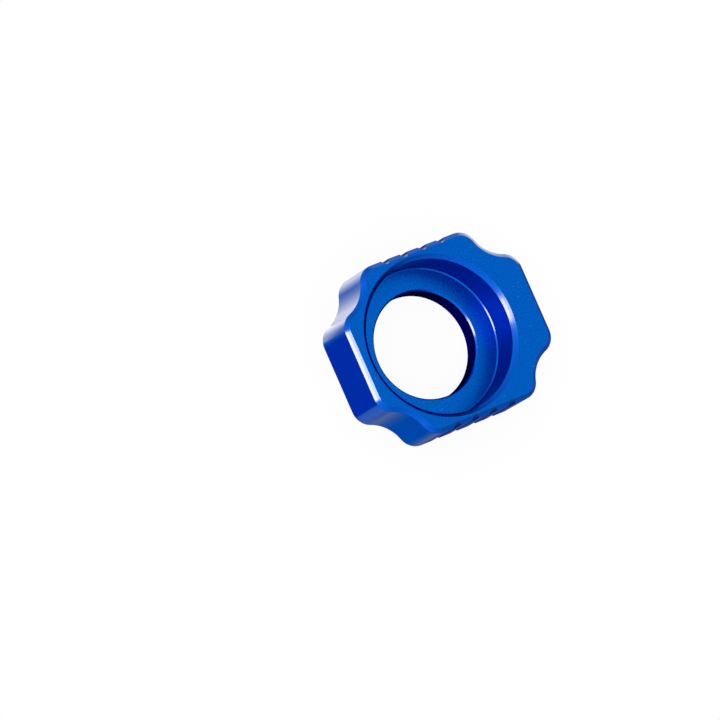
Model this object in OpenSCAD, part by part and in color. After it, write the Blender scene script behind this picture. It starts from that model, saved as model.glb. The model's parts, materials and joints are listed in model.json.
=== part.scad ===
// Motorcycle chain adjuster block: the sliding block that carries the rear axle's head end in the
// swingarm's slot. One piece of aluminium, milled all over and anodised blue.
// X runs along the slot, Y across it and Z out of the front face. The origin is on the axle's
// axis, in the back face. Millimetres.

/* [Block] */
// Length along the swingarm's slot
block_l = 48; // [44:0.5:60]
// Height across the slot
block_h = 41; // [40.5:0.5:50]
// Thickness, from the back face to the front face
block_t = 14; // [10:0.5:20]
// From the axle's axis to the short end of the block
short_end = 21.6; // [20.8:0.2:26]

/* [Corners and edges] */
// Radius of the scallop cut into each corner, centred on the block's square corner
scallop_r = 9; // [6:0.5:9.5]
// Radius that rounds each side into its scallop
corner_r = 4.4; // [2:0.2:6]
// Chamfer round the front face
front_chamfer = 1; // [0.4:0.1:1.3]
// Edge break round the back face
back_chamfer = 0.4; // [0.2:0.1:1]

/* [Axle bore] */
// Diameter of the axle
axle_d = 25; // [17:1:28]
// Gap between the axle and its bore, on the radius
axle_gap = 0.1; // [0.02:0.01:0.3]
// Edge break where the bore meets the recess floor
bore_chamfer = 0.35; // [0.2:0.05:0.6]

/* [Head recess] */
// Diameter of the round recess that takes the axle's head
recess_d = 36; // [31:0.5:36.5]
// Thickness of the web left under the recess
web_t = 5; // [3:0.5:8]
// Chamfer at the mouth of the recess
mouth_chamfer = 1; // [0.3:0.1:1.2]
// Cutter's nose radius left between the recess wall and its floor
nose_r = 0.4; // [0.2:0.1:1]

/* [Position marks] */
// Number of grooves on each long edge
mark_n = 4; // [2:1:5]
// Distance from one groove to the next
mark_pitch = 5; // [3:0.5:6]
// Diameter of the cutter that made the grooves
mark_d = 1.9; // [1:0.1:3]
// How far the grooves reach past the front chamfer, onto the front face
mark_run = 0.1; // [0.05:0.05:0.2]

/* [Hidden] */
$fn = 128;
// Blue of the anodised surface
anodised_blue = [0.01, 0.35, 0.74];
// Every cutter runs this far past the surface that it leaves
past = 1;
half_h = block_h / 2;
long_end = block_l - short_end;
middle_x = (long_end - short_end) / 2;
bore_r = axle_d / 2 + axle_gap;
recess_r = recess_d / 2;
mark_depth = front_chamfer + mark_run;
// From a square corner to the point on either side where its rounding starts
corner_run = sqrt(scallop_r * scallop_r + 2 * corner_r * scallop_r);
// Angle at which the line from a rounding's centre to the scallop's centre leaves the side
corner_angle = atan(corner_r / corner_run);

// Outer edge of a section, from the back face up to the front one, with both edges broken.
// side is where the straight wall stands, and out is 1 with the metal below side and -1 above
function edge_profile(side, out) = [
    [side - out * (back_chamfer + past), -past],
    [side, back_chamfer],
    [side, block_t - front_chamfer],
    [side - out * (front_chamfer + past), block_t + past]
];

function reversed(list) = [for (i = [len(list) - 1:-1:0]) list[i]];

// Plain bar with both its long edges broken, before the corners are cut
module chamfered_bar(low, high, width) {
    translate([0, width / 2, 0])
        rotate([90, 0, 0])
            linear_extrude(width)
                intersection() {
                    polygon(concat(edge_profile(high, 1), reversed(edge_profile(low, -1))));
                    translate([low - past, 0])
                        square([high - low + 2 * past, block_t]);
                }
}

// Rectangular block with broken edges and square corners
module blank() {
    intersection() {
        chamfered_bar(-short_end, long_end, block_h + 2 * past);
        translate([middle_x, 0, 0])
            rotate([0, 0, 90])
                chamfered_bar(-half_h, half_h, block_l + 2 * past);
    }
}

// Sector outside a rounding, with the broken edges followed round the corner
module rounding_cut() {
    reach = corner_r + scallop_r + past;
    rotate_extrude(angle = 90 - corner_angle)
        polygon(concat(
            edge_profile(corner_r, 1),
            [[reach, block_t + past], [reach, -past]]
        ));
}

// All that is cut from one corner, drawn for a square corner at the origin with the block
// towards -X and -Y: the scallop, and the rounding at each end of it
module corner_cut() {
    rotate_extrude()
        polygon(concat(
            [[0, -past]],
            edge_profile(scallop_r, -1),
            [[0, block_t + past]]
        ));
    for (end = [0, 1])
        mirror([end, -end, 0])
            translate([-corner_r, -corner_run, 0])
                rounding_cut();
}

// Bore and head recess as one turned shape
module bore_cut() {
    mouth_z = block_t - mouth_chamfer;
    translate([0, 0, -past])
        cylinder(r = bore_r, h = block_t + 2 * past);
    translate([0, 0, web_t - bore_chamfer])
        cylinder(r1 = bore_r, r2 = bore_r + bore_chamfer + past, h = bore_chamfer + past);
    rotate_extrude()
        difference() {
            polygon([
                [0, web_t],
                [recess_r, web_t],
                [recess_r, mouth_z],
                [recess_r + mouth_chamfer + past, block_t + past],
                [0, block_t + past]
            ]);
            translate([recess_r - nose_r, web_t])
                difference() {
                    square([nose_r + past, nose_r]);
                    translate([0, nose_r])
                        circle(r = nose_r);
                }
        }
}

// Grooves along one long edge, spread about the middle of the block
module mark_cuts() {
    first_x = middle_x - (mark_n - 1) / 2 * mark_pitch;
    axis_y = half_h - mark_depth + mark_d / 2;
    for (i = [0:mark_n - 1])
        translate([first_x + i * mark_pitch, axis_y, -past])
            cylinder(d = mark_d, h = block_t + 2 * past);
}

module adjuster_block() {
    color(anodised_blue)
        difference() {
            blank();
            for (side = [0, 1])
                mirror([0, side, 0]) {
                    translate([long_end, half_h, 0])
                        corner_cut();
                    translate([-short_end, half_h, 0])
                        mirror([1, 0, 0])
                            corner_cut();
                    mark_cuts();
                }
            bore_cut();
        }
}

adjuster_block();
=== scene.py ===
import json
import math
from collections import namedtuple

import bpy
import numpy as np
from mathutils import Matrix, Vector
from mathutils.geometry import tessellate_polygon


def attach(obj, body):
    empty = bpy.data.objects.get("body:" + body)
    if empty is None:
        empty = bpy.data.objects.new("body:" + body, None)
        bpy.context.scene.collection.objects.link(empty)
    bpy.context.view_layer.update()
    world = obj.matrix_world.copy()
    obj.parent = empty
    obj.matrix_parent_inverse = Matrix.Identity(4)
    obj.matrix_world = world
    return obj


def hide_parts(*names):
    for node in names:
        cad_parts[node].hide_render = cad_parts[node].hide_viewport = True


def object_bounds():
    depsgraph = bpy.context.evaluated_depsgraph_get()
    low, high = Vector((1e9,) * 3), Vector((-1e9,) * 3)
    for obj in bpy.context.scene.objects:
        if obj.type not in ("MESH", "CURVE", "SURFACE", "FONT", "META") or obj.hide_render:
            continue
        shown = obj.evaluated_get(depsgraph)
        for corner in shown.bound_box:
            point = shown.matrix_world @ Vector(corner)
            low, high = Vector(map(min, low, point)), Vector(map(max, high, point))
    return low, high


# The looks of a machined and anodised block, drawn again finely around its CAD frame, with the
# light, the floor and the camera of its photograph
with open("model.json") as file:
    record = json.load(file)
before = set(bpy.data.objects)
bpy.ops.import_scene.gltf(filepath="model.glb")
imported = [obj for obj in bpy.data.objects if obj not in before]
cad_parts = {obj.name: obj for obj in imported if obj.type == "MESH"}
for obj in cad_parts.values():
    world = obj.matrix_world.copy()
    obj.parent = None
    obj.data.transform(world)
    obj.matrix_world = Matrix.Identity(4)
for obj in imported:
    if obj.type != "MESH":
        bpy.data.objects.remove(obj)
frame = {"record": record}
cad_low, cad_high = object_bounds()

MM = 0.001
MOUNTS = {mount["name"]: mount for mount in frame["record"]["mounts"]}

# Sizes of the block in millimetres. Its box and its two bores come from the frame
SHORT_END = -cad_low.x / MM
LONG_END = cad_high.x / MM
HALF_H = cad_high.y / MM
BLOCK_T = cad_high.z / MM
MIDDLE_X = (LONG_END - SHORT_END) / 2
BORE_R = MOUNTS["axle_bore"]["dims"]["r_mm"]
RECESS_R = MOUNTS["head_recess"]["dims"]["r_mm"]
WEB_T = MOUNTS["head_seat"]["pos_m"][2] / MM
SCALLOP_R = 9.0
CORNER_R = 4.4
FRONT_CHAMFER = 1.0
BACK_CHAMFER = 0.4
MOUTH_CHAMFER = 1.0
BORE_CHAMFER = 0.35
NOSE_FLAT = 0.28
MARK_N = 4
MARK_PITCH = 5.0
MARK_R = 0.95
MARK_DEPTH = 1.1

# Radius left on each edge by tumbling and blasting
EDGE_R = 0.14
FINE_EDGE_R = 0.05
MARK_EDGE_R = 0.08
NOSE_EDGE_R = 0.15

# Segments of a full turn, of each rounding, of each scallop, of each groove and of its edges, and
# of every other edge
TURN_STEPS = 288
ROUND_STEPS = 14
SCALLOP_STEPS = 28
MARK_STEPS = 18
MARK_EDGE_STEPS = 3
EDGE_STEPS = 3

# From a square corner to the point on either side where its rounding starts, and how far that
# rounding turns
CORNER_RUN = math.sqrt(SCALLOP_R**2 + 2 * CORNER_R * SCALLOP_R)
CORNER_TURN = math.pi / 2 - math.atan2(CORNER_R, CORNER_RUN)

# Kinds of surface. Each has a material of its own, in this order
FACE, CHAMFER, WALL, GROOVE, RECESS, FLOOR, BORE, BACK = range(8)

# An edge face is the upright wall when its normal tilts by less than this, in radians
UPRIGHT = 0.1

# A level of a section: its distance out, its height and the tilt of its normal
Level = namedtuple("Level", "out height tilt")

# A point on the surface, with its normal and whether it is in a groove
Spot = namedtuple("Spot", "point normal grooved")


def unit(angle):
    return np.array([math.cos(angle), math.sin(angle)])


def rounded(corners, radii):
    """Levels of a section with its inner corners rounded. The metal lies left of the path."""
    levels = []
    corners = [np.array(c, float) for c in corners]
    for i, radius in enumerate(radii, 1):
        before = corners[i] - corners[i - 1]
        after = corners[i + 1] - corners[i]
        start = math.atan2(before[1], before[0])
        turn = (math.atan2(after[1], after[0]) - start + math.pi) % (2 * math.pi) - math.pi
        side = math.copysign(1, turn)
        run = radius * math.tan(abs(turn) / 2)
        centre = corners[i] - run * unit(start) - side * radius * unit(start - math.pi / 2)
        for k in range(EDGE_STEPS + 1):
            normal = start - math.pi / 2 + turn * k / EDGE_STEPS
            point = centre + side * radius * unit(normal)
            levels.append(Level(point[0], point[1], normal))
    return levels


def edge_section():
    """The edge all round the block, from the back face up, with distances from the straight side."""
    corners = [
        (-2 * BACK_CHAMFER, 0),
        (-BACK_CHAMFER, 0),
        (0, BACK_CHAMFER),
        (0, BLOCK_T - FRONT_CHAMFER),
        (-FRONT_CHAMFER, BLOCK_T),
        (-2 * FRONT_CHAMFER, BLOCK_T),
    ]
    return rounded(corners, [EDGE_R] * 4)


def groove_section(levels):
    """The same levels on a groove's wall, which opens out a little at its two ends."""
    lip = EDGE_R * (1 - math.sin(math.pi / 4))
    ends = rounded([(-1, 0), (0, 0), (0, BLOCK_T), (-1, BLOCK_T)], [lip, lip])
    ring = EDGE_STEPS + 1
    straight = [Level(0, level.height, 0) for level in levels[ring:-ring]]
    return ends[:ring] + straight + ends[ring:]


def turned_section():
    """The mouth, the recess, its floor and the bore, from the front face down, with distances
    from the axis."""
    corners = [
        (RECESS_R + 2 * MOUTH_CHAMFER, BLOCK_T),
        (RECESS_R + MOUTH_CHAMFER, BLOCK_T),
        (RECESS_R, BLOCK_T - MOUTH_CHAMFER),
        (RECESS_R, WEB_T + NOSE_FLAT),
        (RECESS_R - NOSE_FLAT, WEB_T),
        (BORE_R + BORE_CHAMFER, WEB_T),
        (BORE_R, WEB_T - BORE_CHAMFER),
        (BORE_R, 0),
        (BORE_R + 1, 0),
    ]
    return rounded(corners, [EDGE_R] * 2 + [NOSE_EDGE_R] * 2 + [FINE_EDGE_R] * 3)


def corner_stations(quarter):
    """Rounding, scallop and rounding of one corner, as places at full size and outward normals."""
    square = np.array([
        (LONG_END, HALF_H),
        (-SHORT_END, HALF_H),
        (-SHORT_END, -HALF_H),
        (LONG_END, -HALF_H),
    ][quarter])
    turn = quarter * math.pi / 2
    stations = []
    for k in range(ROUND_STEPS + 1):
        out = unit(CORNER_TURN * k / ROUND_STEPS)
        stations.append((np.array([-CORNER_R, -CORNER_RUN]) + CORNER_R * out, out))
    for k in range(1, SCALLOP_STEPS):
        angle = CORNER_TURN + (math.pi / 2 - 2 * CORNER_TURN) * k / SCALLOP_STEPS
        stations.append((-SCALLOP_R * unit(angle), unit(angle)))
    for k in range(ROUND_STEPS + 1):
        out = unit(math.pi / 2 - CORNER_TURN + CORNER_TURN * k / ROUND_STEPS)
        stations.append((np.array([-CORNER_RUN, -CORNER_R]) + CORNER_R * out, out))
    spin = np.array([[math.cos(turn), -math.sin(turn)], [math.sin(turn), math.cos(turn)]])
    return [(square + spin @ place, spin @ out) for place, out in stations]


def surface_spot(place, height, out, tilt, grooved=False):
    """Spot over a place in plan, with its normal tilted up or down from the direction out."""
    return Spot((*place, height), (*(math.cos(tilt) * out), math.sin(tilt)), grooved)


def groove_ring(middle, out, level, wall):
    """One groove at one level, walked with the metal on the left: edge, wall and edge."""
    inset = -level.out
    along = np.array([-out[1], out[0]])
    hollow_r = MARK_R - wall.out
    depth = MARK_DEPTH - MARK_R
    reach = hollow_r + MARK_EDGE_R
    drop = inset + MARK_EDGE_R - depth
    half = math.sqrt(reach**2 - drop**2)
    swing = math.atan2(half, drop)
    spots = []

    def add(x, y, slant, share):
        height = level.height + (wall.height - level.height) * share
        tilt = level.tilt + (wall.tilt - level.tilt) * share
        flat = math.sin(slant) * along + math.cos(slant) * out
        spots.append(surface_spot(middle + x * along + y * out, height, flat, tilt, share == 1))

    def add_edge(side, k):
        slant = -side * swing * k / MARK_EDGE_STEPS
        x = MARK_EDGE_R * math.sin(slant) + side * half
        y = MARK_EDGE_R * math.cos(slant) - inset - MARK_EDGE_R
        add(x, y, slant, k / MARK_EDGE_STEPS)

    for k in range(MARK_EDGE_STEPS + 1):
        add_edge(-1, k)
    for k in range(1, MARK_STEPS):
        slant = swing * (1 - 2 * k / MARK_STEPS)
        add(-hollow_r * math.sin(slant), -depth - hollow_r * math.cos(slant), slant, 1)
    for k in range(MARK_EDGE_STEPS, -1, -1):
        add_edge(1, k)
    return spots


def edge_ring(level, wall):
    """All round the block at one level of its edge, with its grooves."""
    spots = []
    for quarter in range(4):
        for place, out in corner_stations(quarter):
            spots.append(surface_spot(place + level.out * out, level.height, out, level.tilt))
        # A long edge with grooves follows the first corner and the third
        if quarter % 2 == 0:
            side = 1 - quarter
            for k in range(MARK_N):
                x = MIDDLE_X + side * MARK_PITCH * ((MARK_N - 1) / 2 - k)
                spots += groove_ring(np.array([x, side * HALF_H]), np.array([0.0, side]), level, wall)
    return spots


def turned_ring(level):
    """A full turn of the turned section at one level."""
    outs = [unit(2 * math.pi * k / TURN_STEPS) for k in range(TURN_STEPS)]
    return [surface_spot(level.out * out, level.height, out, level.tilt) for out in outs]


class Skin:
    """Points, normals and faces of a mesh, gathered ring by ring."""

    def __init__(self):
        self.points = []
        self.normals = []
        self.grooved = []
        self.faces = []
        self.kinds = []
        self.travel = []

    def add_ring(self, spots):
        first = len(self.points)
        self.points += [spot.point for spot in spots]
        self.normals += [spot.normal for spot in spots]
        self.grooved += [spot.grooved for spot in spots]
        return list(range(first, len(self.points)))

    def join_rings(self, lower, upper, kind):
        """Quads between two rings of equal length, which also keep the way along the ring."""
        way = 0.0
        count = len(lower)
        for i in range(count):
            j = (i + 1) % count
            step = math.dist(self.points[lower[i]], self.points[lower[j]])
            self.faces.append((lower[i], lower[j], upper[j], upper[i]))
            self.travel.append((way, way + step, way + step, way))
            self.kinds.append(GROOVE if self.grooved[lower[i]] and self.grooved[lower[j]] else kind)
            way += step

    def cap(self, outer, inner, up, kind):
        """Flat ring between two closed outlines, facing up or down."""
        loops = [[Vector(self.points[i]) for i in loop] for loop in (outer, inner)]
        flat = outer + inner
        for tri in tessellate_polygon(loops):
            a, b, c = (np.array(self.points[flat[i]][:2]) for i in tri)
            turn = (b[0] - a[0]) * (c[1] - a[1]) - (b[1] - a[1]) * (c[0] - a[0])
            order = tri if (turn > 0) == up else tri[::-1]
            self.faces.append(tuple(flat[i] for i in order))
            self.travel.append((0.0, 0.0, 0.0))
            self.kinds.append(kind)


def kind_of_edge(tilt, next_tilt):
    middle = (tilt + next_tilt) / 2
    return WALL if abs(middle) < UPRIGHT else CHAMFER


def build_block():
    skin = Skin()
    levels = edge_section()
    walls = groove_section(levels)
    rings = [skin.add_ring(edge_ring(level, wall)) for level, wall in zip(levels, walls)]
    for k in range(len(rings) - 1):
        skin.join_rings(rings[k], rings[k + 1], kind_of_edge(levels[k].tilt, levels[k + 1].tilt))

    hollows = [skin.add_ring(turned_ring(level)) for level in turned_section()]
    broken_edge = [CHAMFER] * (2 * EDGE_STEPS + 1)
    back_edge = [BORE] * EDGE_STEPS
    kinds = broken_edge + [RECESS] + broken_edge + [FLOOR] + broken_edge + [BORE] + back_edge
    for k, kind in enumerate(kinds):
        skin.join_rings(hollows[k], hollows[k + 1], kind)
    skin.cap(rings[-1], hollows[0], True, FACE)
    skin.cap(rings[0], hollows[-1], False, BACK)
    return skin


def make_object(name, skin, materials):
    mesh = bpy.data.meshes.new(name)
    mesh.from_pydata([tuple(np.array(p) * MM) for p in skin.points], [], skin.faces)
    for material in materials:
        mesh.materials.append(material)
    mesh.polygons.foreach_set("material_index", skin.kinds)
    mesh.polygons.foreach_set("use_smooth", [True] * len(skin.faces))
    along = mesh.attributes.new("along_mm", "FLOAT", "CORNER")
    along.data.foreach_set("value", [s for face in skin.travel for s in face])
    mesh.normals_split_custom_set_from_vertices([tuple(n) for n in skin.normals])
    mesh.validate()
    piece = bpy.data.objects.new(name, mesh)
    bpy.context.scene.collection.objects.link(piece)
    return piece


class Nodes:
    """Short calls for building a node tree, which starts empty."""

    def __init__(self, owner):
        owner.use_nodes = True
        self.tree = owner.node_tree
        self.tree.nodes.clear()

    def new(self, kind, **settings):
        node = self.tree.nodes.new(kind)
        for key, value in settings.items():
            setattr(node, key, value)
        return node

    def feed(self, socket, value):
        if isinstance(value, bpy.types.NodeSocket):
            self.tree.links.new(value, socket)
        elif value is not None:
            socket.default_value = value

    def math(self, operation, a, b=None, c=None):
        node = self.new("ShaderNodeMath", operation=operation)
        for socket, value in zip(node.inputs, (a, b, c)):
            self.feed(socket, value)
        return node.outputs[0]

    def spread(self, value, low, high, to_low=0.0, to_high=1.0, smooth=False):
        node = self.new("ShaderNodeMapRange", interpolation_type="SMOOTHSTEP" if smooth else "LINEAR")
        for socket, given in zip(node.inputs, (value, low, high, to_low, to_high)):
            self.feed(socket, given)
        return node.outputs[0]

    def mix(self, share, a, b, kind="MIX"):
        node = self.new("ShaderNodeMix", data_type="RGBA", blend_type=kind)
        self.feed(node.inputs["Factor"], share)
        self.feed(node.inputs[6], a)
        self.feed(node.inputs[7], b)
        return node.outputs[2]

    def noise(self, place, scale, detail=2.0, roughness=0.5):
        node = self.new("ShaderNodeTexNoise")
        self.feed(node.inputs["Vector"], place)
        self.feed(node.inputs["Scale"], scale)
        self.feed(node.inputs["Detail"], detail)
        self.feed(node.inputs["Roughness"], roughness)
        return node.outputs["Fac"]

    def split(self, vector):
        node = self.new("ShaderNodeSeparateXYZ")
        self.feed(node.inputs[0], vector)
        return node.outputs

    def toward(self, way, aim):
        """Cosine of the angle between a direction and an aim."""
        node = self.new("ShaderNodeVectorMath", operation="DOT_PRODUCT")
        self.feed(node.inputs[0], way)
        self.feed(node.inputs[1], tuple(Vector(aim).normalized()))
        return node.outputs["Value"]

    def glow(self, colour, strength=None):
        node = self.new("ShaderNodeEmission")
        self.feed(node.inputs["Color"], colour)
        self.feed(node.inputs["Strength"], strength)
        return node.outputs[0]

    def over(self, share, under, above):
        """One shader with a share of another laid over it."""
        node = self.new("ShaderNodeMixShader")
        for socket, given in zip(node.inputs, (share, under, above)):
            self.feed(socket, given)
        return node.outputs[0]

    def end(self, kind, shader):
        self.feed(self.new(kind).inputs[0], shader)


WHITE = (1.0, 1.0, 1.0, 1.0)

# Colours of the anodised layer, linear: the dye on each kind of surface, then the tint of the
# gloss at low angles, then the pale flecks. The recess, the bore and the grooves are dyed darker,
# partly as painted shade in these hollows, and the gloss in the recess and the bore is tinted
# darker as painted shade
BLUE = (0.0006, 0.109, 0.53, 1.0)
CUT_BLUE = (0.0006, 0.09, 0.56, 1.0)
WALL_BLUE = (0.0006, 0.1, 0.5, 1.0)
RECESS_DYE_AND_SHADE = (0.0004, 0.085, 0.38, 1.0)
BORE_DYE_AND_SHADE = (0.0004, 0.01, 0.2, 1.0)
GROOVE_DYE_AND_SHADE = (0.0006, 0.03, 0.17, 1.0)
FACE_EDGE = (0.0, 0.3, 0.6, 1.0)
SHADED_EDGE = (0.3, 0.5, 0.7, 1.0)
BORE_SHADED_EDGE = (0.02, 0.15, 0.4, 1.0)
PALE = (0.11, 0.28, 0.66, 1.0)

# The clear oxide over the dye
OXIDE_IOR = 1.65

# The grain left by blasting, in noise per millimetre, and the part of the noise's range in use.
# The dye's green changes most with it
GRAIN_SCALE = 3.0
GRAIN_DETAIL = 3.0
GRAIN_ROUGHNESS = 0.65
GRAIN_GREEN = 2.5
NOISE_RANGE = (0.3, 0.7)

# How much the grain changes the roughness, and how high its relief is in millimetres
UNEVEN = 0.04
RELIEF = 0.004
RELIEF_SHARE = 0.25

# Broad clouds in the dye: their scale, their shade and how much of it shows at most
CLOUD_SCALE = 0.12
CLOUD_SHADE = 0.93
CLOUD_SHARE = 0.5

# Cells in which a pale fleck may lie, per millimetre, the flecks' radius and how many cells have one
FLECK_CELLS = 0.6
FLECK_R = 0.11
FLECK_SHARE = 0.22
FLECK_STRENGTH = 0.5


def shade(colour, share):
    return (*(min(1.0, c * share) for c in colour[:3]), 1.0)


def grained(colour, share):
    """The dye's colour in a pit or on a peak of the grain."""
    return (colour[0], colour[1] * (1 + GRAIN_GREEN * share), colour[2] * (1 + share), 1.0)


def flecks(nodes, place):
    """A few tiny pale pits, at most one in each cell."""
    cells = nodes.new("ShaderNodeTexVoronoi")
    nodes.feed(cells.inputs["Vector"], place)
    nodes.feed(cells.inputs["Scale"], FLECK_CELLS)
    colour = nodes.new("ShaderNodeSeparateColor")
    nodes.feed(colour.inputs[0], cells.outputs["Color"])
    chosen = nodes.math("LESS_THAN", colour.outputs[0], FLECK_SHARE)
    spot = nodes.spread(cells.outputs["Distance"], FLECK_R, FLECK_R / 2, 0.0, FLECK_STRENGTH)
    return nodes.math("MULTIPLY", chosen, spot)


def dyed(nodes, place, fine, colour, grain):
    """The dye's colour with its grain, its broad clouds and its flecks."""
    tone = nodes.mix(nodes.spread(fine, *NOISE_RANGE), grained(colour, -grain), grained(colour, grain))
    broad = nodes.spread(nodes.noise(place, CLOUD_SCALE), *NOISE_RANGE, 0.0, CLOUD_SHARE)
    tone = nodes.mix(broad, tone, shade(colour, CLOUD_SHADE))
    return nodes.mix(flecks(nodes, place), tone, PALE)


# Marks that a tool leaves: a function that draws their lines, their relief against the grain's,
# how much they brighten or darken the dye, and how much they dull the oxide
Marks = namedtuple("Marks", "lines depth tint dulling")
GRAIN_BESIDE_MARKS = 0.3
BRIGHT_MARK = 1.45
DARK_MARK = 0.5
DULL_ROUGHNESS = 0.3

# How far a cutter's lines wander, how soon they start above a level, and how faint they get.
# Then how far the turned rings wander. Lengths in millimetres
CUTTER_WANDERS = 0.25
CUTTER_WANDER_SCALE = 1.5
CUTTER_STARTS = 0.1
CUTTER_LEAST = 0.4
TURNED_WANDERS = 0.1
TURNED_WANDER_SCALE = 0.8


def wave(nodes, way, pitch, least):
    """Evenly spaced lines along a way, from their least strength up to full."""
    sine = nodes.math("SINE", nodes.math("MULTIPLY", way, 2 * math.pi / pitch))
    return nodes.spread(sine, -1.0, 1.0, least, 1.0)


def cutter_lines(pitch, lean, above=0.0):
    """Fine lines across a cutter's way round the edge, leaning with the height, above one level."""

    def lines(nodes, place):
        along = nodes.new("ShaderNodeAttribute", attribute_name="along_mm").outputs["Fac"]
        height = nodes.split(place)["Z"]
        way = nodes.math("MULTIPLY_ADD", height, lean, along)
        way = nodes.math("MULTIPLY_ADD", nodes.noise(place, CUTTER_WANDER_SCALE), CUTTER_WANDERS, way)
        band = nodes.spread(height, above, above + CUTTER_STARTS)
        return nodes.math("MULTIPLY", wave(nodes, way, pitch, CUTTER_LEAST), band)

    return lines


def turned_lines(pitch):
    """Rings that a turning tool leaves, by distance from the axis and by height."""

    def lines(nodes, place):
        split = nodes.split(place)
        squares = [nodes.math("POWER", split[axis], 2.0) for axis in "XY"]
        radius = nodes.math("SQRT", nodes.math("ADD", *squares))
        way = nodes.math("ADD", radius, split["Z"])
        way = nodes.math("MULTIPLY_ADD", nodes.noise(place, TURNED_WANDER_SCALE), TURNED_WANDERS, way)
        return wave(nodes, way, pitch, 0.0)

    return lines


def anodised(name, colour, roughness, grain, coat=0.0, coat_roughness=0.2, marks=None, edge=WHITE):
    """Blue anodised aluminium: a dyed metal under a thin clear oxide, with the grain and the marks
    that blasting and the tools left."""
    material = bpy.data.materials.new(name)
    nodes = Nodes(material)
    scaled = nodes.new("ShaderNodeVectorMath", operation="SCALE")
    nodes.feed(scaled.inputs[0], nodes.new("ShaderNodeTexCoord").outputs["Object"])
    nodes.feed(scaled.inputs["Scale"], 1 / MM)
    place = scaled.outputs[0]
    fine = nodes.noise(place, GRAIN_SCALE, GRAIN_DETAIL, GRAIN_ROUGHNESS)
    tone = dyed(nodes, place, fine, colour, grain)
    rough = nodes.spread(fine, *NOISE_RANGE, roughness - UNEVEN, roughness + UNEVEN)
    height = fine
    clear = coat
    if marks is not None:
        lines = marks.lines(nodes, place)
        marked = shade(colour, BRIGHT_MARK if marks.tint > 0 else DARK_MARK)
        tone = nodes.mix(nodes.math("MULTIPLY", lines, abs(marks.tint)), tone, marked)
        fainter = nodes.math("MULTIPLY", fine, GRAIN_BESIDE_MARKS)
        height = nodes.math("MULTIPLY_ADD", lines, marks.depth, fainter)
        if marks.dulling:
            rough = nodes.math("MULTIPLY_ADD", lines, DULL_ROUGHNESS * marks.dulling, rough)
            clear = nodes.math("MULTIPLY_ADD", lines, -coat * marks.dulling, coat)
    bump = nodes.new("ShaderNodeBump")
    nodes.feed(bump.inputs["Strength"], RELIEF_SHARE)
    nodes.feed(bump.inputs["Distance"], RELIEF * MM)
    nodes.feed(bump.inputs["Height"], height)
    shader = nodes.new("ShaderNodeBsdfPrincipled")
    nodes.feed(shader.inputs["Metallic"], 1.0)
    nodes.feed(shader.inputs["Coat Weight"], clear)
    nodes.feed(shader.inputs["Coat Roughness"], coat_roughness)
    nodes.feed(shader.inputs["Coat IOR"], OXIDE_IOR)
    nodes.feed(shader.inputs["Specular Tint"], edge)
    nodes.feed(shader.inputs["Base Color"], tone)
    nodes.feed(shader.inputs["Roughness"], rough)
    nodes.feed(shader.inputs["Normal"], bump.outputs[0])
    nodes.end("ShaderNodeOutputMaterial", shader.outputs[0])
    return material


# The cutter's hatching shows on this share of the front chamfer, from its top down
HATCHED = 0.55
HATCH_LINES = cutter_lines(pitch=0.5, lean=0.8, above=BLOCK_T - HATCHED * FRONT_CHAMFER)
HATCH = Marks(HATCH_LINES, depth=0.35, tint=-0.1, dulling=0.42)
RULING = Marks(cutter_lines(pitch=0.7, lean=0.0), depth=0.15, tint=0.06, dulling=0.0)
RECESS_RINGS = Marks(turned_lines(pitch=0.3), depth=0.4, tint=0.06, dulling=0.0)
FLOOR_RINGS = Marks(turned_lines(pitch=0.45), depth=0.6, tint=0.08, dulling=0.0)
BORE_RINGS = Marks(turned_lines(pitch=0.3), depth=0.5, tint=0.1, dulling=0.0)


def block_materials():
    """One material for each kind of surface, in the order of the kinds. After the dye come the
    roughness and the grain, and where the oxide shines, its weight and its own roughness."""
    return [
        anodised("anodised_face", BLUE, 0.36, 0.2, edge=FACE_EDGE),
        anodised("anodised_chamfer", CUT_BLUE, 0.18, 0.03, 0.1, 0.18, HATCH),
        anodised("anodised_wall", WALL_BLUE, 0.12, 0.25, 1.0, 0.1, RULING),
        # The groove, recess and bore take darker colours and gloss tints, partly as painted shade
        anodised("anodised_groove", GROOVE_DYE_AND_SHADE, 0.25, 0.1, 0.7, 0.2),
        anodised("anodised_recess", RECESS_DYE_AND_SHADE, 0.22, 0.3, marks=RECESS_RINGS, edge=SHADED_EDGE),
        anodised("anodised_floor", BLUE, 0.32, 0.3, marks=FLOOR_RINGS, edge=FACE_EDGE),
        anodised("anodised_bore", BORE_DYE_AND_SHADE, 0.35, 0.05, marks=BORE_RINGS, edge=BORE_SHADED_EDGE),
        anodised("anodised_back", BLUE, 0.36, 0.2, edge=FACE_EDGE),
    ]


def make_block():
    block = make_object("machined_block", build_block(), block_materials())
    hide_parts("adjuster_block")
    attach(block, "root")


# The studio as the metal mirrors it. The light grows evenly from the right towards the upper left
BRIGHT_SIDE = (-0.664, 0.0, 0.747)
LEAST_LIGHT = 0.18
MOST_LIGHT = 1.38

# It is white, but the metal mirrors it cool in a tilted band along the horizon, where the chamfers
# point: the band's axis, its middle along that axis, and how far from it the band fades and ends
BAND_LIGHT = (0.3, 1.0, 1.0, 1.0)
BAND_AXIS = (0.41, 0.064, 0.91)
BAND_MIDDLE = 0.08
BAND_FADES = 0.2
BAND_ENDS = 0.35

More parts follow.
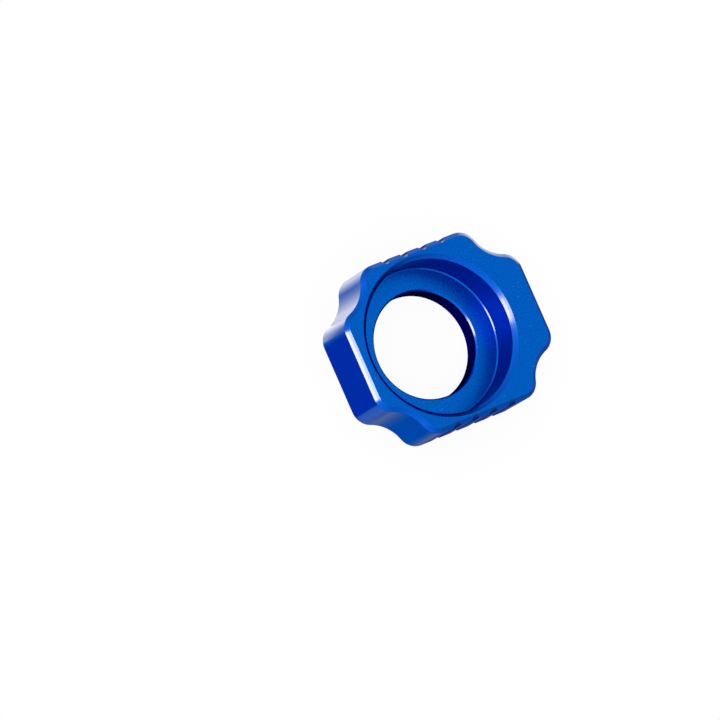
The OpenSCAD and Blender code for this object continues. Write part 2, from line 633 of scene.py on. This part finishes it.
# Panels in it, at the right front, the right behind, the right, the top and the upper left: the
# direction, half the width in degrees where a panel is full and where it has faded, and its light
Panel = namedtuple("Panel", "aim full faded light")
PANELS = [
    Panel((0.87, -0.38, -0.28), 14, 30, (0.22, 0.4, 0.58)),
    Panel((0.78, 0.51, -0.33), 15, 26, (3.1, 2.3, 1.1)),
    Panel((0.89, -0.03, -0.45), 9, 14, (0.01, 0.16, 0.48)),
    Panel((0.5, 0.86, -0.1), 8, 18, (1.3, 1.15, 0.9)),
    Panel((-0.452, 0.073, 0.889), 4, 21, (3.8, 3.8, 3.6)),
]

# What the sides mirror from below: white behind the block, turning to deep blue at its left and
# front. Each stop is a share of a turn about the vertical, from just right of the block, and the
# light there. It starts where a unit direction has the first height, and is full at the second
BELOW_FROM = math.radians(6)
BELOW_STARTS = -0.55
BELOW_FULL = -0.75
BELOW_LIGHT = (1.2, 1.2, 1.2, 1.0)
BELOW = [
    (0.0, (0.42, 0.5, 0.66)),
    (0.1, (0.62, 0.63, 0.71)),
    (0.17, (0.96, 0.93, 0.87)),
    (0.24, (0.8, 0.8, 0.8)),
    (0.33, (0.27, 0.4, 0.63)),
    (0.39, (0.02, 0.23, 0.57)),
    (0.45, (0.0, 0.08, 0.54)),
    (0.545, (0.0, 0.08, 0.54)),
    (0.57, (0.0, 0.2, 0.6)),
    (0.69, (0.0, 0.16, 0.5)),
    (0.77, (0.05, 0.17, 0.42)),
    (0.83, (0.12, 0.18, 0.36)),
    (0.92, (0.08, 0.12, 0.3)),
    (0.97, (0.02, 0.04, 0.2)),
]


def light_below(nodes, way):
    """Light under the horizon, as a ramp round the vertical."""
    turned = nodes.new("ShaderNodeVectorRotate", rotation_type="Z_AXIS")
    nodes.feed(turned.inputs["Vector"], way)
    nodes.feed(turned.inputs["Angle"], -math.pi - BELOW_FROM)
    split = nodes.split(turned.outputs[0])
    angle = nodes.math("ARCTAN2", split["Y"], split["X"])
    ramp = nodes.new("ShaderNodeValToRGB")
    nodes.feed(ramp.inputs[0], nodes.spread(angle, -math.pi, math.pi))
    stops = ramp.color_ramp.elements
    while len(stops) < len(BELOW):
        stops.new(0.5)
    for stop, (place, colour) in zip(stops, BELOW):
        stop.position = place
        stop.color = (*colour, 1.0)
    return nodes.mix(1.0, ramp.outputs[0], BELOW_LIGHT, "MULTIPLY")


def cool_band(nodes, way, ray):
    """Tint of the studio's light, cool in the band for what the metal mirrors."""
    height = nodes.math("SUBTRACT", nodes.toward(way, BAND_AXIS), BAND_MIDDLE)
    band = nodes.spread(nodes.math("ABSOLUTE", height), BAND_FADES, BAND_ENDS, 1.0, 0.0)
    return nodes.mix(nodes.math("MULTIPLY", band, ray.outputs["Is Glossy Ray"]), WHITE, BAND_LIGHT)


def light_world():
    """White to the camera. What the metal mirrors is painted by direction."""
    world = bpy.data.worlds.new("studio")
    bpy.context.scene.world = world
    nodes = Nodes(world)
    way = nodes.new("ShaderNodeTexCoord").outputs["Generated"]
    ray = nodes.new("ShaderNodeLightPath")
    level = nodes.spread(nodes.toward(way, BRIGHT_SIDE), -1.0, 1.0, LEAST_LIGHT, MOST_LIGHT)
    light = nodes.mix(1.0, level, cool_band(nodes, way, ray), "MULTIPLY")
    for panel in PANELS:
        edges = [math.cos(math.radians(angle)) for angle in (panel.faded, panel.full)]
        share = nodes.spread(nodes.toward(way, panel.aim), *edges, smooth=True)
        light = nodes.mix(share, light, (*panel.light, 1.0))
    below = nodes.spread(nodes.split(way)["Z"], BELOW_STARTS, BELOW_FULL, smooth=True)
    light = nodes.mix(below, light, light_below(nodes, way))
    background = nodes.new("ShaderNodeBackground")
    nodes.feed(background.inputs["Color"], nodes.mix(ray.outputs["Is Camera Ray"], light, WHITE))
    nodes.end("ShaderNodeOutputWorld", background.outputs[0])


# The softbox at the left, seen in the chamfers: direction, distance, width and height in metres,
# brightness and colour. It is warm, so that its streaks on blue metal are white and fade without
# a cyan rim. It lights what faces it, and isn't passed on from metal to metal inside the recess
KEY_AIM = Vector((-0.889, 0.073, 0.452))
KEY_AWAY = 0.3
KEY_SIZE = (0.13, 0.09)
KEY_RADIANCE = 150.0
KEY_COLOUR = (1.0, 0.066, 0.0115, 1.0)
KEY_BOUNCES = 2.5


def add_key():
    lamp = bpy.data.lights.new("key", "AREA")
    lamp.shape = "RECTANGLE"
    lamp.size = KEY_SIZE[0]
    lamp.size_y = KEY_SIZE[1]
    lamp.energy = KEY_RADIANCE * math.pi * KEY_SIZE[0] * KEY_SIZE[1]
    nodes = Nodes(lamp)
    depth = nodes.new("ShaderNodeLightPath").outputs["Ray Depth"]
    early = nodes.math("LESS_THAN", depth, KEY_BOUNCES)
    nodes.end("ShaderNodeOutputLight", nodes.glow(KEY_COLOUR, early))
    key = bpy.data.objects.new("key", lamp)
    key.location = Vector((0, 0, cad_high.z / 2)) + KEY_AIM.normalized() * KEY_AWAY
    key.rotation_mode = "QUATERNION"
    key.rotation_quaternion = KEY_AIM.to_track_quat("Z", "Y")
    key.visible_camera = False
    key.visible_diffuse = False
    bpy.context.scene.collection.objects.link(key)


# The floor lies a hair under the block, so that its back face keeps clear of it. The camera sees
# mostly an even white on it
FLOOR_HALF = 3.0
FLOOR_DROP = 0.02 * MM
FLOOR_COLOUR = (0.85, 0.85, 0.85, 1.0)
FLOOR_WHITE = 0.93

# The floor in the bore is painted as the block's own shade: a dark glow seen only by mirror rays,
# deepest at the left, which the metal mirrors as painted shade. The back face is too near the floor
# to mirror it
SHADED_R = 17.0 * MM
SHADED_FROM = 7.0 * MM
SHADED_TO = 12.0 * MM
SHADED_DEEP = (0.0, 0.003, 0.1, 1.0)
SHADED_LIGHT = (0.0, 0.02, 0.6, 1.0)
SHADED_NEAR = 0.3 * MM

# A pale sheen is painted on the floor off each left corner: a glow seen only by mirror rays, which
# gives the rounding there a painted reflection. Each has a point on its straight edge, a way across
# it, a span in X over which its colour turns from left to right, and one over which it ends.
# Lengths in millimetres
Sheen = namedtuple("Sheen", "edge across turns ends left right")
SHEEN_FADES = 0.5
SHEENS = [
    Sheen(
        edge=(-21.36, -9.27),
        across=(0.482, -0.876),
        turns=(-23.8, -18.4),
        ends=(-22.0, -18.4),
        left=(0.11, 0.35, 0.79, 1.0),
        right=(0.24, 0.34, 0.6, 1.0),
    ),
    Sheen(
        edge=(-21.4, 8.86),
        across=(0.603, 0.798),
        turns=(-24.5, -20.0),
        ends=(-18.2, -17.4),
        left=(0.25, 0.4, 0.72, 1.0),
        right=(1.36, 1.28, 1.15, 1.0),
    ),
]


def floor_sheen(nodes, split, sheen):
    """Colour and share of one painted sheen over the floor."""
    across = nodes.math("MULTIPLY", split["X"], sheen.across[0])
    across = nodes.math("MULTIPLY_ADD", split["Y"], sheen.across[1], across)
    edge = sheen.edge[0] * sheen.across[0] + sheen.edge[1] * sheen.across[1]
    beyond = nodes.spread(across, edge * MM, (edge + SHEEN_FADES) * MM)
    inside = nodes.spread(split["X"], sheen.ends[0] * MM, sheen.ends[1] * MM, 1.0, 0.0)
    turned = nodes.spread(split["X"], sheen.turns[0] * MM, sheen.turns[1] * MM)
    return nodes.mix(turned, sheen.left, sheen.right), nodes.math("MULTIPLY", beyond, inside)


def mirrored_floor(nodes, ray):
    """The floor as the metal mirrors it: the painted sheens, the painted shade under the bore, and
    the world's light through the rest. Nothing of it shows on what lies flat on the floor."""
    place = nodes.new("ShaderNodeTexCoord").outputs["Object"]
    split = nodes.split(place)
    away = nodes.math("GREATER_THAN", ray.outputs["Ray Length"], SHADED_NEAR)
    shown = nodes.new("ShaderNodeBsdfTransparent").outputs[0]
    for sheen in SHEENS:
        colour, share = floor_sheen(nodes, split, sheen)
        shown = nodes.over(nodes.math("MULTIPLY", share, away), shown, nodes.glow(colour))
    length = nodes.new("ShaderNodeVectorMath", operation="LENGTH")
    nodes.feed(length.inputs[0], place)
    inside = nodes.math("LESS_THAN", length.outputs["Value"], SHADED_R)
    lit = nodes.spread(split["X"], SHADED_FROM, SHADED_TO)
    painted_shade_of_bore = nodes.glow(nodes.mix(lit, SHADED_DEEP, SHADED_LIGHT))
    return nodes.over(nodes.math("MULTIPLY", inside, away), shown, painted_shade_of_bore)


def floor_material():
    """Near white with the block's own soft shadow to the camera, and clear from below."""
    material = bpy.data.materials.new("floor")
    nodes = Nodes(material)
    ray = nodes.new("ShaderNodeLightPath")
    paper = nodes.new("ShaderNodeBsdfDiffuse")
    nodes.feed(paper.inputs["Color"], FLOOR_COLOUR)
    whitened = nodes.math("MULTIPLY", ray.outputs["Is Camera Ray"], FLOOR_WHITE)
    seen = nodes.over(whitened, paper.outputs[0], nodes.glow(WHITE))
    seen = nodes.over(ray.outputs["Is Glossy Ray"], seen, mirrored_floor(nodes, ray))
    below = nodes.new("ShaderNodeNewGeometry").outputs["Backfacing"]
    seen = nodes.over(below, seen, nodes.new("ShaderNodeBsdfTransparent").outputs[0])
    nodes.end("ShaderNodeOutputMaterial", seen)
    return material


def add_floor():
    mesh = bpy.data.meshes.new("floor")
    h = FLOOR_HALF
    mesh.from_pydata([(-h, -h, 0), (h, -h, 0), (h, h, 0), (-h, h, 0)], [], [(0, 1, 2, 3)])
    mesh.materials.append(floor_material())
    floor = bpy.data.objects.new("floor", mesh)
    floor.location.z = -FLOOR_DROP
    bpy.context.scene.collection.objects.link(floor)


# The photograph's view: where the camera stands, its right and its down direction, its focal
# length and sensor width in millimetres, and how far it sees in metres
CAMERA_AT = (-0.627868, -0.096683, 1.205725)
VIEW_RIGHT = (0.82951621, -0.40057832, 0.38915275)
VIEW_DOWN = (-0.32756033, -0.91333325, -0.24192273)
LENS = 300.0
SENSOR = 36.0
SEES = 10.0


def add_camera():
    camera = bpy.data.objects.new("camera", bpy.data.cameras.new("camera"))
    right = Vector(VIEW_RIGHT).normalized()
    up = -Vector(VIEW_DOWN).normalized()
    back = right.cross(up)
    axes = Matrix((right, up, back)).transposed()
    camera.matrix_world = Matrix.Translation(CAMERA_AT) @ axes.to_4x4()
    camera.data.lens = LENS
    camera.data.sensor_width = SENSOR
    camera.data.clip_end = SEES
    bpy.context.scene.collection.objects.link(camera)
    bpy.context.scene.camera = camera


make_block()
add_floor()
light_world()
add_key()
add_camera()
bpy.context.scene.view_settings.view_transform = "Standard"
